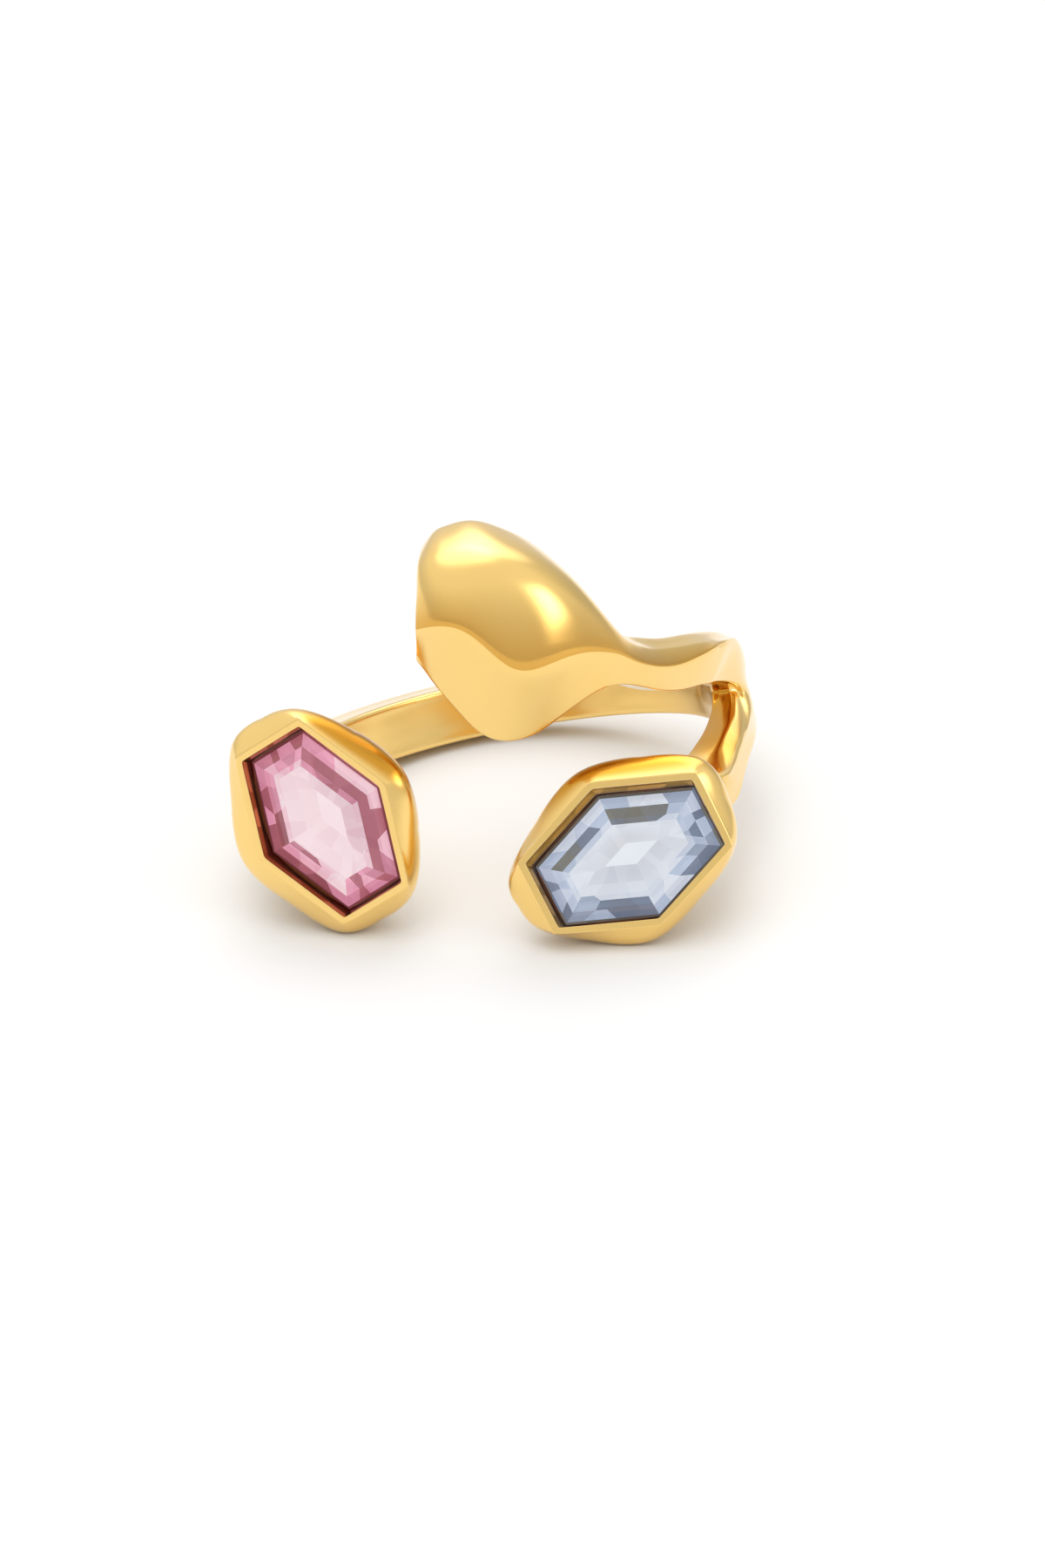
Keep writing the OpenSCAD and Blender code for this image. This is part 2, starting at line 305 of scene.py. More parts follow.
# Depth, growth, corner rounding and share of the seat's shift, from the seat's floor to the lip.
SEAT_ROWS = [
    (2.72, -2.30, 0.20, 1.0),
    (1.96, -1.05, 0.10, 1.0),
    (1.12, -0.16, 0.03, 1.0),
    (0.52, -0.120, 0.03, 0.8),
    (0.14, -0.040, 0.03, 0.2),
    (0.10, -0.022, 0.03, 0.1),
    (0.02, -0.008, 0.03, 0.0),
    (0.00, 0.00, 0.03, 0.0),
]
# How sharp some of those rows stay.
SEAT_CREASES = ((3, 0.5), (5, 0.9), (7, 0.9))
# How much shade is painted on the gold at the lower and the upper edge of the strip above each
# of those rows.
SEAT_SHADES = [(1, 1), (1, 1), (1, 0.8), (0.8, 0.4), (0.4, 0.6), (0.85, 0.85), (0.1, 0)]
# How much of a head's painted shade shows on each loop of its outside, from the lip back.
WALL_SHADES = (0, 0.4, 0.9, 1, 1, 1, 0.6, 0)

# Azimuth, elevation, core and edge in degrees, and gain of the soft round lamps in the sky. The
# last one takes light away.
SOFT_LAMPS = [
    (165, 56, 3, 32, 1.5),
    (-150, 78, 3, 32, 1.2),
    (125, 26, 0, 38, -0.22),
]
# Azimuth, core and edge in degrees, lowest and highest height, and gain of the tall strip, then
# how softly it fades towards the other side of the sky, below and above. A height is the sine
# of an elevation.
STRIP = (52, 1, 19, 0.26, 0.42, 3.4)
STRIP_FADES = (0.3, 0.1, 0.25)
# Height at which the sky has its full brightness.
SKY_FULL = 0.72
# Azimuth, elevation, distance and size in metres, and radiance of the area light.
OVERHEAD = (-20, 65, 0.9, 0.5, 1.6)
FLOOR_ROUGHNESS = 0.6
FLOOR_SPECULAR = 0.2

# The photograph: pixels a metre at the ring, its width in pixels, and how many pixels its middle
# lies to the right of the ring's origin and above it. Then how the camera looks at it, from how
# many metres, and how wide its sensor is.
PHOTO_SCALE = 26800
PHOTO_WIDTH = 1200
PHOTO_MIDDLE = (8.7, -52)
CAMERA_TILT = 10.5
CAMERA_ROLL = 10.8
CAMERA_DISTANCE = 0.6
SENSOR_WIDTH = 36


# Heads, sections and loops


class Head:
    """One crystal's head.

    angle and height place the middle of its lip; azimuth, elevation and spin turn it; pushes move
    the six corners of its outside; shift moves its crystal and the bottom of its seat. joined are
    the columns of its outside that meet the arm or the shank, at the depth meets. shades says how
    much shade is painted on the gold of some columns of its outside.
    """

    def __init__(
        self, angle, height, azimuth, elevation, spin, pushes, shift, joined, meets, shades
    ):
        turn = (
            Matrix.Rotation(math.radians(azimuth), 4, "Z")
            @ Matrix.Rotation(math.radians(90 + elevation), 4, "X")
            @ Matrix.Rotation(math.radians(90 + spin), 4, "Z")
        )
        self.place = Matrix.Translation(around(angle, LIP, height)) @ turn
        self.pushes = pushes
        self.shift = shift
        self.joined = joined
        self.meets = meets
        self.shades = shades


def around(angle, radius, z):
    """A point round the finger."""
    a = math.radians(angle)
    return Vector((radius * math.sin(a), -radius * math.cos(a), z))


# The heads' shades are painted shade on some columns of their outside.
PINK = Head(
    -45.4, -0.4, -18, 2, 23,
    [(0.25, -0.34), (0.24, 0.59), (0.02, 0.28), (-0.09, 0.54), (-0.04, -0.38), (-0.04, 0.48)],
    (-0.09, 0.13), joined=range(-2, 9), meets=3.0,
    shades={16: 0.1, 17: 0.5, 18: 0.68, 19: 0.68, 20: 0.55, 21: 0.15},
)
BLUE = Head(
    17.4, -3.6, -6, -4, -73,
    [(0.22, 0.03), (-0.32, 0.22), (-0.40, -0.84), (-0.15, 0.76), (-0.73, -0.19), (-0.30, 0.12)],
    (0.00, -0.26), joined=range(-5, 5), meets=2.8,
    shades={1: 0.25, 2: 0.45, 3: 0.55, 4: 0.72, 5: 0.72, 6: 0.45, 7: 0.15},
)


def glide(rows, x):
    """The row of a table at x, on a smooth curve through its rows."""
    rows = sorted(rows)
    x = min(max(x, rows[0][0]), rows[-1][0])
    k = max(i for i in range(len(rows) - 1) if rows[i][0] <= x)
    a, b = rows[k], rows[k + 1]
    before, after = rows[max(k - 1, 0)], rows[min(k + 2, len(rows) - 1)]
    span = b[0] - a[0]
    t = (x - a[0]) / span
    out = []
    for i in range(1, len(a)):
        slope_a = (b[i] - before[i]) / (b[0] - before[0]) * span
        slope_b = (after[i] - a[i]) / (after[0] - a[0]) * span
        out.append(
            a[i] * (2 * t ** 3 - 3 * t ** 2 + 1) + b[i] * (3 * t ** 2 - 2 * t ** 3)
            + slope_a * (t ** 3 - 2 * t ** 2 + t) + slope_b * (t ** 3 - t ** 2)
        )
    return out


def within(x, start, end):
    """How far x is on the way from start to end, from 0 to 1."""
    return min(max((x - start) / (end - start), 0), 1)


def side(a, b, count, start, end):
    """count points from a to b, the first and last that far from the corners."""
    a, b = Vector(a), Vector(b)
    length = (b - a).length
    shares = [i / (count - 1) for i in range(count)]
    shares[0] = start / length
    shares[-1] = 1 - end / length
    return [a.lerp(b, s) for s in shares]


def shank_section(angle):
    """20 points (radius, z): 7 inside, 3 on top, 7 outside, 3 below."""
    outer, low, high, high_in = glide(SHANK_ROWS, angle)
    corners = [(BORE, low), (BORE, high_in), (outer, high), (outer, low)]
    r = SHANK_CORNER
    return (
        side(corners[0], corners[1], 7, r, r)
        + side(corners[1], corners[2], 3, r, r)
        + side(corners[2], corners[3], 7, r * OUTER_CORNER, r * OUTER_CORNER)
        + side(corners[3], corners[0], 3, r, r)
    )


def lower_arm_section(angle):
    """14 points (radius, z): 4 inside, 3 on top with the ridge, 4 outside, 3 below."""
    outer, low, high, high_in, ridge, ridge_z = glide(LOWER_ARM_ROWS, angle)
    corners = [(BORE, low), (BORE, high_in), (outer, high), (outer, low)]
    ridge = (BORE + ridge, ridge_z)
    r = ARM_CORNER
    return (
        side(corners[0], corners[1], 4, r, r)
        + side(corners[1], ridge, 2, r, 0)
        + side(ridge, corners[2], 2, 0, r)[1:]
        + side(corners[2], corners[3], 4, r * OUTER_CORNER, r * OUTER_CORNER)
        + side(corners[3], corners[0], 3, r, r)
    )


def bent(a, p, b, share):
    """The middle of a corner p rounded off between a and b."""
    a, p, b = Vector(a), Vector(p), Vector(b)
    return p.lerp(a, share) * 0.25 + p * 0.5 + p.lerp(b, share) * 0.25


def nugget_section(angle):
    """14 points (radius, z): 4 inside, 2 on top, 5 outside, 3 below.

    The five are the brow, the dome, the shoulder, the crest and the lower edge.
    """
    low_r, low_z, crest_r, crest_z, shoulder_r, shoulder_z, top_r, top_z = glide(NUGGET_ROWS, angle)
    lower, crest = Vector((BORE + low_r, low_z)), Vector((BORE + crest_r, crest_z))
    shoulder, top = Vector((BORE + shoulder_r, shoulder_z)), Vector((BORE + top_r, top_z))
    big = within(angle, *WIDENS)
    drop, soft, out, under = (
        arm + more * big for arm, more in (TOP_DROP, BROW_ROUNDING, EDGE_OUTSIDE, EDGE_BELOW)
    )
    inner_low, inner_top = Vector((BORE, low_z)), Vector((BORE, top_z - drop))
    inside = side(inner_low, inner_top, 4, SHANK_CORNER, SHANK_CORNER)
    above = [inner_top.lerp(top, INNER_SHARE), inner_top.lerp(top, 0.5)]
    slope = shoulder - top
    dome = Vector((-slope.y, slope.x)) * DOME * big
    outside = [
        bent(inner_top, top, shoulder, soft),
        top.lerp(shoulder, 0.5) + dome,
        bent(top, shoulder, crest, soft),
        crest,
        lower.lerp(crest, out),
    ]
    below = [
        lower.lerp(inner_low, under),
        lower.lerp(inner_low, 0.5),
        inner_low.lerp(lower, INNER_SHARE),
    ]
    return inside + above + outside + below


def hexagon(growth):
    """Corners of the opening's elongated hexagon, grown outwards on every side."""
    half, end = OPENING_LENGTH / 2, OPENING_END / 2
    slope = (OPENING_WIDTH / 2 - end) / half
    wide = OPENING_WIDTH / 2 + growth * math.sqrt(1 + slope * slope)
    corner = wide - slope * (half + growth)
    far = half + growth
    return [(far, corner), (0, wide), (-far, corner), (-far, -corner), (0, -wide), (far, -corner)]


def opening_loop(head, depth, corners, rounding):
    """Points of a head at one depth: three round each corner, and the middle of each side."""
    corners = [Vector(c) for c in corners]
    out = []
    for i, p in enumerate(corners):
        last, following = corners[i - 1], corners[(i + 1) % 6]
        end = p.lerp(following, rounding)
        out += [p.lerp(last, rounding), bent(last, p, following, rounding), end]
        out.append((end + following.lerp(p, rounding)) / 2)
    return [head.place @ Vector((x, y, -depth)) for x, y in out]


def outside_loop(head, depth):
    """A head's outside at one depth, in the ring's frame."""
    growth, rounding, share = glide(HEAD_ROWS, depth)
    corners = [
        (x + px * share, y + py * share)
        for (x, y), (px, py) in zip(hexagon(growth), head.pushes)
    ]
    return opening_loop(head, depth, corners, rounding)


def seat_loop(head, row):
    """A loop of a head's seat, in the ring's frame."""
    depth, growth, rounding, share = row
    dx, dy = head.shift
    corners = [(x + dx * share, y + dy * share) for x, y in hexagon(growth)]
    return opening_loop(head, depth, corners, rounding)


def reach(point):
    """Distance of a point from the finger's axis."""
    return math.hypot(point.x, point.y)


def end_depths(head):
    """How deep each column of a head's outside runs."""
    steps = [HEAD_LOOPS[-1] + DEPTH_STEP * k for k in range(STEPS_DOWN)]
    loops = [outside_loop(head, min(d, HEAD_DEPTH)) for d in steps]
    joined = {i % COLUMNS for i in head.joined}
    out = []
    for i in range(COLUMNS):
        deep = next((d for d, loop in zip(steps, loops) if reach(loop[i]) < BORE), HEAD_DEPTH)
        out.append(min(deep, head.meets if i in joined else HEAD_DEPTH))
    return out


def on_back(head, point):
    """The point of a head's back under this one: on the bore, or on the flat back outside it."""
    local = head.place.inverted() @ point
    for k in range(STEPS_UP):
        local.z = -HEAD_DEPTH + DEPTH_STEP * k
        if reach(head.place @ local) >= BORE:
            break
    return head.place @ local


# Mesh helpers


def add_loop(bm, points):
    """A closed loop of vertices on these points."""
    verts = bmesh.ops.create_circle(bm, segments=len(points), radius=1)["verts"]
    for v, p in zip(verts, points):
        v.co = p
    return verts


def edge(bm, a, b):
    """The edge between two vertices, made if there is none."""
    return bm.edges.get((a, b)) or bmesh.ops.contextual_create(bm, geom=[a, b])["edges"][0]


def round_edges(bm, loop):
    """The edges of a closed loop."""
    return [edge(bm, loop[i - 1], loop[i]) for i in range(len(loop))]


def bridge(bm, a, b):
    """Quads between two loops, point to point."""
    made = bmesh.ops.bridge_loops(bm, edges=round_edges(bm, a) + round_edges(bm, b))["faces"]
    if all(bm.edges.get((p, q)) for p, q in zip(a, b)):
        return
    # The operator paired other points than these, so its edges across give way to quads.
    ring = set(a)
    cross = {e for f in made for e in f.edges if len(ring.intersection(e.verts)) == 1}
    bmesh.ops.delete(bm, geom=list(cross), context="EDGES")
    for i in range(len(a)):
        bmesh.ops.contextual_create(bm, geom=[a[i - 1], a[i], b[i], b[i - 1]])


def relax(bm, verts):
    """Moves vertices half the way to the middle of their neighbours."""
    bmesh.ops.smooth_vert(
        bm, verts=verts, factor=0.5, use_axis_x=True, use_axis_y=True, use_axis_z=True
    )


def crease(bm, verts_a, verts_b, value):
    """Sets how sharp the edges between paired vertices stay."""
    layer = bm.edges.layers.float.get("crease_edge") or bm.edges.layers.float.new("crease_edge")
    for a, b in zip(verts_a, verts_b):
        bm.edges.get((a, b))[layer] = value


def shade(bm, verts, values):
    """Sets how much shade is painted into the gold at each corner of the face on these vertices."""
    layer = bm.loops.layers.float.get("shade") or bm.loops.layers.float.new("shade")
    face = next(f for f in verts[0].link_faces if set(f.verts) == set(verts))
    for corner in face.loops:
        corner[layer] = values[verts.index(corner.vert)]


def shade_quad(bm, a, b, i, values):
    """Shades the quad between two loops that starts at their point i: a, next a, next b, b."""
    shade(bm, (a[i], a[i + 1], b[i + 1], b[i]), values)


def object_from(bm, name, materials):
    """Makes a bmesh an object of the scene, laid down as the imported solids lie."""
    bmesh.ops.transform(bm, matrix=REST, verts=bm.verts)
    mesh = bpy.data.meshes.new(name)
    bm.to_mesh(mesh)
    bm.free()
    for material in materials:
        mesh.materials.append(material)
    obj = bpy.data.objects.new(name, mesh)
    bpy.context.scene.collection.objects.link(obj)
    return obj


def settle(obj):
    """Moves the cage so that the smooth surface runs through the cage's first points.

    A point on a tight edge moves no further than a share of it, so that close loops don't cross.
    """
    mesh = obj.data
    goals = [v.co.copy() for v in mesh.vertices]
    room = [1.0] * len(goals)
    for one in mesh.edges:
        a, b = one.vertices
        length = (goals[a] - goals[b]).length
        if length < TIGHT_EDGE:
            room[a], room[b] = (min(room[i], length * TIGHT_SHARE) for i in (a, b))
    graph = bpy.context.evaluated_depsgraph_get()
    for _ in range(SETTLE_ROUNDS):
        graph.update()
        smooth = obj.evaluated_get(graph).data.vertices
        steps = [goal - smooth[i].co for i, goal in enumerate(goals)]
        for v, step, goal, most in zip(mesh.vertices, steps, goals, room):
            away = v.co + step - goal
            v.co = goal + away * min(1, most / max(away.length, 1e-9))
        mesh.update()
        obj.update_tag()


# Cast body


def head_cage(bm, head):
    """Seat, lip and outside of a head; returns the outside's loops from the lip back."""
    seat = [add_loop(bm, seat_loop(head, row)) for row in SEAT_ROWS]
    outside = [add_loop(bm, outside_loop(head, d)) for d in HEAD_LOOPS]
    deep, first = end_depths(head), HEAD_LOOPS[-1]
    for share in HEAD_ENDS:
        depths = [first + (d - first) * share for d in deep]
        outside.append(add_loop(bm, [outside_loop(head, d)[i] for i, d in enumerate(depths)]))
    loops = seat + outside
    for a, b in zip(loops, loops[1:]):
        bridge(bm, a, b)
    grid(bm, seat[0][:7], seat[0][18:11:-1])
    creased = [(seat[k], value) for k, value in SEAT_CREASES]
    for loop, value in creased + [(outside[0], LIP_CREASE)]:
        crease(bm, loop, loop[1:] + loop[:1], value)
    # Painted shade down the seat and on the narrow drop under the lip.
    for a, b, (low, high) in zip(seat, seat[1:], SEAT_SHADES):
        for i in range(-1, COLUMNS - 1):
            shade_quad(bm, a, b, i, (low, low, high, high))
    # Painted shade on the walls of the head's outside, column by column.
    tints_and_shades = [head.shades.get(i, 0) for i in range(COLUMNS)]
    for a, b, low, high in zip(outside, outside[1:], WALL_SHADES, WALL_SHADES[1:]):
        for i in range(-1, COLUMNS - 1):
            left, right = tints_and_shades[i], tints_and_shades[i + 1]
            shade_quad(bm, a, b, i, (left * low, right * low, right * high, left * high))
    return outside


def grid(bm, rail_a, rail_b):
    """Fills between two rails whose ends are joined by open edges; returns the new points."""
    before = set(bm.verts)
    edges = [edge(bm, p, q) for rail in (rail_a, rail_b) for p, q in zip(rail, rail[1:])]
    bmesh.ops.grid_fill(bm, edges=edges, use_smooth=True, use_interp_simple=True)
    return [v for v in bm.verts if v not in before]


def path(bm, start, end, points):
    """A line of new vertices on these points, joined to start and end."""
    verts = [bmesh.ops.create_vert(bm, co=p)["vert"][0] for p in points]
    line = [start] + verts + [end]
    for a, b in zip(line, line[1:]):
        edge(bm, a, b)
    return verts


def arm_loops(bm, first, rows, skew, section):
    """An arm's loops from its first one, each bridged to the one before."""
    loops = [first]
    for base, turn in rows:
        points = []
        for i, share in enumerate(skew):
            angle = base + turn * share
            r, z = section(angle)[i]
            lean = END_LEAN[z < END_HEIGHT] * max(0, END_FROM - angle)
            points.append(around(angle + lean * (z - END_HEIGHT), r, z))
        loops.append(add_loop(bm, points))
        bridge(bm, loops[-2], loops[-1])
    return loops


def nugget_arm(bm, first):
    """The upper arm and the nugget, whose end is closed and eased."""
    arm = arm_loops(bm, first, NUGGET_LOOPS, NUGGET_SKEW, nugget_section)
    last = arm[-1]
    grid(bm, last[:4], last[10:6:-1])
    relax(bm, last[:9] + last[12:] + arm[-2][:4] + arm[-2][12:])
    crease(bm, last[8:11], last[9:12], END_CREASE)
    bases = [base for base, _ in NUGGET_LOOPS]
    for k, base in enumerate(bases[1:], 1):
        a, b = arm[k], arm[k + 1]
        shoulder = min(within(base, *SHOULDER_ENDS), within(base, *SHOULDER_STARTS))
        crease(bm, [a[8]], [b[8]], shoulder * SHOULDER_CREASE)
        crease(bm, [a[9]], [b[9]], within(base, *CREST_STARTS) * CREST_CREASE)
        # Painted shade in the bowl, deepening down to the crest.
        here, there = within(bases[k - 1], *BOWL_STARTS), within(base, *BOWL_STARTS)
        for i, low, high in zip((6, 7, 8), BOWL_SHADES, BOWL_SHADES[1:]):
            shade_quad(bm, a, b, i, (low * here, high * here, high * there, low * there))


def lower_arm(bm, first, crotch):
    """The lower arm with the ridge along it; returns its last loop."""
    arm = arm_loops(bm, first, LOWER_ARM_LOOPS, LOWER_ARM_SKEW, lower_arm_section)
    for a, b, ridge, outer in zip(arm[1:], arm[2:], RIDGE_CREASES, EDGE_CREASES):
        crease(bm, [a[5]], [b[5]], ridge)
        crease(bm, [a[7]], [b[7]], outer)
    # Painted shade in the crotch, on the strip inside the ridge and on the band outside it.
    for face in crotch[0].link_faces:
        shade(bm, face.verts[:], [CROTCH_SHADE * (v in crotch[:2]) for v in face.verts])
    for columns, shades in (((3, 4), STRIP_SHADES), ((5,), BAND_SHADES)):
        for a, b, here, there in zip(arm, arm[1:], shades, shades[1:]):
            for i in columns:
                shade_quad(bm, a, b, i, (here, here, there, there))
    return arm[-1]


def pink_end(bm, shank):
    """The pink head on the shank's last loop; returns the points of their joint."""
    outside = head_cage(bm, PINK)
    end = outside[-1]
    points = [around(SHANK_END[1], BORE, z) for _, z in shank_section(SHANK_END[0])[:7]]
    low = on_back(PINK, (points[0] + end[8].co) / 2)
    high = on_back(PINK, (points[-1] + end[22].co) / 2)
    line = path(bm, end[8], end[22], [low] + points + [high])
    bridge(bm, shank, line[1:] + end[22:] + end[:9] + line[:1])
    for v in grid(bm, [end[8]] + line + [end[22]], end[10:21]):
        v.co = on_back(PINK, v.co)
    return shank + outside[-2] + end


def blue_end(bm, arm):
    """The blue head on the lower arm's last loop; returns the points of their joint."""
    outside = head_cage(bm, BLUE)
    end = outside[-1]
    inner = lower_arm_section(LOWER_ARM_END[0])[:4]
    line = path(bm, end[19], end[4], [around(LOWER_ARM_END[1], BORE, z) for _, z in inner])
    bridge(bm, arm, line + end[4::-1] + end[:18:-1])
    for v in grid(bm, [end[19]] + line + [end[4]], end[14:8:-1]):
        v.co = on_back(BLUE, v.co)
    return arm + outside[-2] + end


def cast_cage():
    """The whole cast body as one closed quad cage."""
    bm = bmesh.new()
    fork = add_loop(bm, [around(a, *shank_section(a)[i]) for i, a in enumerate(FORK_ANGLES)])
    for i, (angle, out, z) in ((3, FORK_INNER), (13, FORK_OUTER)):
        fork[i].co = around(angle, BORE + out, z)
    shank = fork
    for angle in SHANK_ANGLES:
        before = shank
        shank = add_loop(bm, [around(angle, r, z) for r, z in shank_section(angle)])
        bridge(bm, before, shank)
    joint = pink_end(bm, shank)
    crotch = path(bm, fork[3], fork[13], [around(a, BORE + r, z) for a, r, z in CROTCH])
    nugget_arm(bm, fork[3:14] + crotch[::-1])
    joint += blue_end(bm, lower_arm(bm, fork[:4] + crotch + fork[13:], crotch))
    for _ in range(JOINT_ROUNDS):
        relax(bm, joint)
    bmesh.ops.recalc_face_normals(bm, faces=bm.faces)
    for face in bm.faces:
        face.smooth = True
    return bm


# Crystals


def crystal_cut(head, tones):
    """A step-cut crystal: hexagons bridged from the table down to the culet."""
    bm = bmesh.new()
    tone = bm.faces.layers.float.new("tone")
    dx, dy = head.shift
    loops = []
    for k, (depth, inset) in enumerate(CRYSTAL_STEPS):
        corners = [Vector(c) for c in hexagon(-GIRDLE_INSET - inset)]
        points = []
        for i in range(6):
            for part in range(SIDE_PARTS):
                wave = SLANT_WAVES[0] * k + SLANT_WAVES[1] * part + SLANT_WAVES[2] * i
                share = part / SIDE_PARTS + (PART_SLANT * math.sin(wave) if part else 0)
                x, y = corners[i].lerp(corners[(i + 1) % 6], share)
                points.append(head.place @ Vector((x + dx, y + dy, -depth)))
        loops.append(add_loop(bm, points))
    count = len(loops[0])
    for k, (a, b) in enumerate(zip(loops, loops[1:])):
        bridge(bm, a, b)
        for i in range(count):
            pair = {a[i], a[(i + 1) % count], b[i]}
            face = next(f for f in a[i].link_faces if pair <= set(f.verts))
            # The glass tones paint light and shade on the facets; the foil tones darken its painted
            # glow.
            if k < GLASS_STEPS:
                face[tone] = tones[min(k, len(tones) - 1)][i]
            else:
                stir = FACET_STIR * math.sin(i * STIR_WAVE + k)
                face[tone] = max(FOIL_TONES[k - GLASS_STEPS][i // SIDE_PARTS] + stir, 0)
                face.material_index = 1
    for loop, index in ((loops[0], 0), (loops[-1], 1)):
        bmesh.ops.contextual_create(bm, geom=loop)
        face = next(f for f in loop[0].link_faces if len(f.verts) == count)
        face.material_index = index
    bmesh.ops.recalc_face_normals(bm, faces=bm.faces)
    return bm


# Materials


def new_material(name):
    """A named material with an empty node tree but for its output and one Principled BSDF."""
    material = bpy.data.materials.new(name)
    material.use_nodes = True
    nodes = material.node_tree.nodes
    shader = next(n for n in nodes if n.type == "BSDF_PRINCIPLED")
    return material, nodes, material.node_tree.links, shader


def new_group(name, inputs, outputs):
    """A shader node group with named sockets; returns the tree, its input and its output node."""
    tree = bpy.data.node_groups.new(name, "ShaderNodeTree")
    for socket, kind, value in inputs:
        made = tree.interface.new_socket(socket, in_out="INPUT", socket_type=kind)
        if value is not None:
            made.default_value = value
    for socket, kind in outputs:
        tree.interface.new_socket(socket, in_out="OUTPUT", socket_type=kind)
    return tree, tree.nodes.new("NodeGroupInput"), tree.nodes.new("NodeGroupOutput")


def polish_group():
    """Fine polishing: a roughness that wanders a little, and a faint waviness for a Bump node."""
    if "fine_polish" in bpy.data.node_groups:
        return bpy.data.node_groups["fine_polish"]
    tree, given, out = new_group(
        "fine_polish",
        [
            ("Coordinates", "NodeSocketVector", None),
            ("Scale", "NodeSocketFloat", 300.0),
            ("Roughness Low", "NodeSocketFloat", 0.05),
            ("Roughness High", "NodeSocketFloat", 0.1),
        ],
        [(socket, "NodeSocketFloat") for socket in ("Roughness", "Height", "Mask")],
    )
    nodes, links = tree.nodes, tree.links
    broad = nodes.new("ShaderNodeTexNoise")
    broad.inputs["Detail"].default_value = POLISH_DETAIL[0]
    fine = nodes.new("ShaderNodeTexNoise")
    fine.inputs["Detail"].default_value = POLISH_DETAIL[1]
    finer = nodes.new("ShaderNodeMath")
    finer.operation = "MULTIPLY"
    finer.inputs[1].default_value = POLISH_FINER
    spread = nodes.new("ShaderNodeMapRange")
    spread.inputs["From Min"].default_value = POLISH_RANGE[0]
    spread.inputs["From Max"].default_value = POLISH_RANGE[1]
    links.new(given.outputs["Coordinates"], broad.inputs["Vector"])
    links.new(given.outputs["Coordinates"], fine.inputs["Vector"])
    links.new(given.outputs["Scale"], broad.inputs["Scale"])
    links.new(given.outputs["Scale"], finer.inputs[0])
    links.new(finer.outputs[0], fine.inputs["Scale"])
    links.new(broad.outputs["Fac"], spread.inputs["Value"])
    links.new(given.outputs["Roughness Low"], spread.inputs["To Min"])
    links.new(given.outputs["Roughness High"], spread.inputs["To Max"])
    links.new(spread.outputs["Result"], out.inputs["Roughness"])
    links.new(fine.outputs["Fac"], out.inputs["Height"])
    links.new(broad.outputs["Fac"], out.inputs["Mask"])
    return tree


def add_polish(nodes, links, shader, scale, low, high, depth):
    """Places the polish group in a material and joins it to roughness and normal."""
    coords = nodes.new("ShaderNodeTexCoord")
    polish = nodes.new("ShaderNodeGroup")
    polish.node_tree = polish_group()
    polish.inputs["Scale"].default_value = scale
    polish.inputs["Roughness Low"].default_value = low
    polish.inputs["Roughness High"].default_value = high
    links.new(coords.outputs["Object"], polish.inputs["Coordinates"])
    links.new(polish.outputs["Roughness"], shader.inputs["Roughness"])
    if depth:
        bump = nodes.new("ShaderNodeBump")
        bump.inputs["Strength"].default_value = 1
        bump.inputs["Distance"].default_value = depth
        links.new(polish.outputs["Height"], bump.inputs["Height"])
        links.new(bump.outputs["Normal"], shader.inputs["Normal"])
    return polish


def mix_colours(nodes, links, factor, first, second, target):
    """Mixes two colours by a factor socket into a target socket."""
    mix = nodes.new("ShaderNodeMix")
    mix.data_type = "RGBA"
    mix.inputs["A"].default_value = (*first, 1)
    mix.inputs["B"].default_value = (*second, 1)
    links.new(factor, mix.inputs["Factor"])
    links.new(mix.outputs["Result"], target)
    return mix


def ramp(nodes, links, value, start, end, low, high):
    """A smooth step of a value between two limits."""
    node = nodes.new("ShaderNodeMapRange")
    node.interpolation_type = "SMOOTHSTEP"
    for key, number in zip(("From Min", "From Max", "To Min", "To Max"), (start, end, low, high)):
        node.inputs[key].default_value = number
    links.new(value, node.inputs["Value"])
    return node.outputs["Result"]


def gold_material(metal):
    """Mirror-polished yellow gold with painted shade: deeper in the bowl and brown down in the
    seats.

    The clear lacquer on it fades where the painted shade begins.
    """
    material, nodes, links, shader = new_material("polished_gold")
    shader.inputs["Metallic"].default_value = 1
    shader.inputs["Coat Roughness"].default_value = metal.roughness
    roughness = metal.roughness, metal.roughness * GOLD_WANDER
    polish = add_polish(nodes, links, shader, GOLD_GRAIN, *roughness, GOLD_WAVES)
    deeper = [c * f for c, f in zip(metal.colour, GOLD_DEEPER)]
    mix = mix_colours(
        nodes, links, polish.outputs["Mask"], metal.colour, deeper, shader.inputs["Base Color"]
    )
    # The shade attribute is painted shade: it mixes the gold towards the deep colour, then the
    # seats' brown.
    attribute = nodes.new("ShaderNodeAttribute")
    attribute.attribute_name = "shade"
    dark = attribute.outputs["Fac"]
    links.new(ramp(nodes, links, dark, 0, DEEP_AT, LACQUER, 0), shader.inputs["Coat Weight"])
    for start, end, tint in ((0, DEEP_AT, metal.deep), (DEEP_AT, 1, metal.seat)):
        share = ramp(nodes, links, dark, start, end, 0, 1)
        below = mix
        mix = mix_colours(nodes, links, share, tint, tint, shader.inputs["Base Color"])
        links.new(below.outputs["Result"], mix.inputs["A"])
    return material


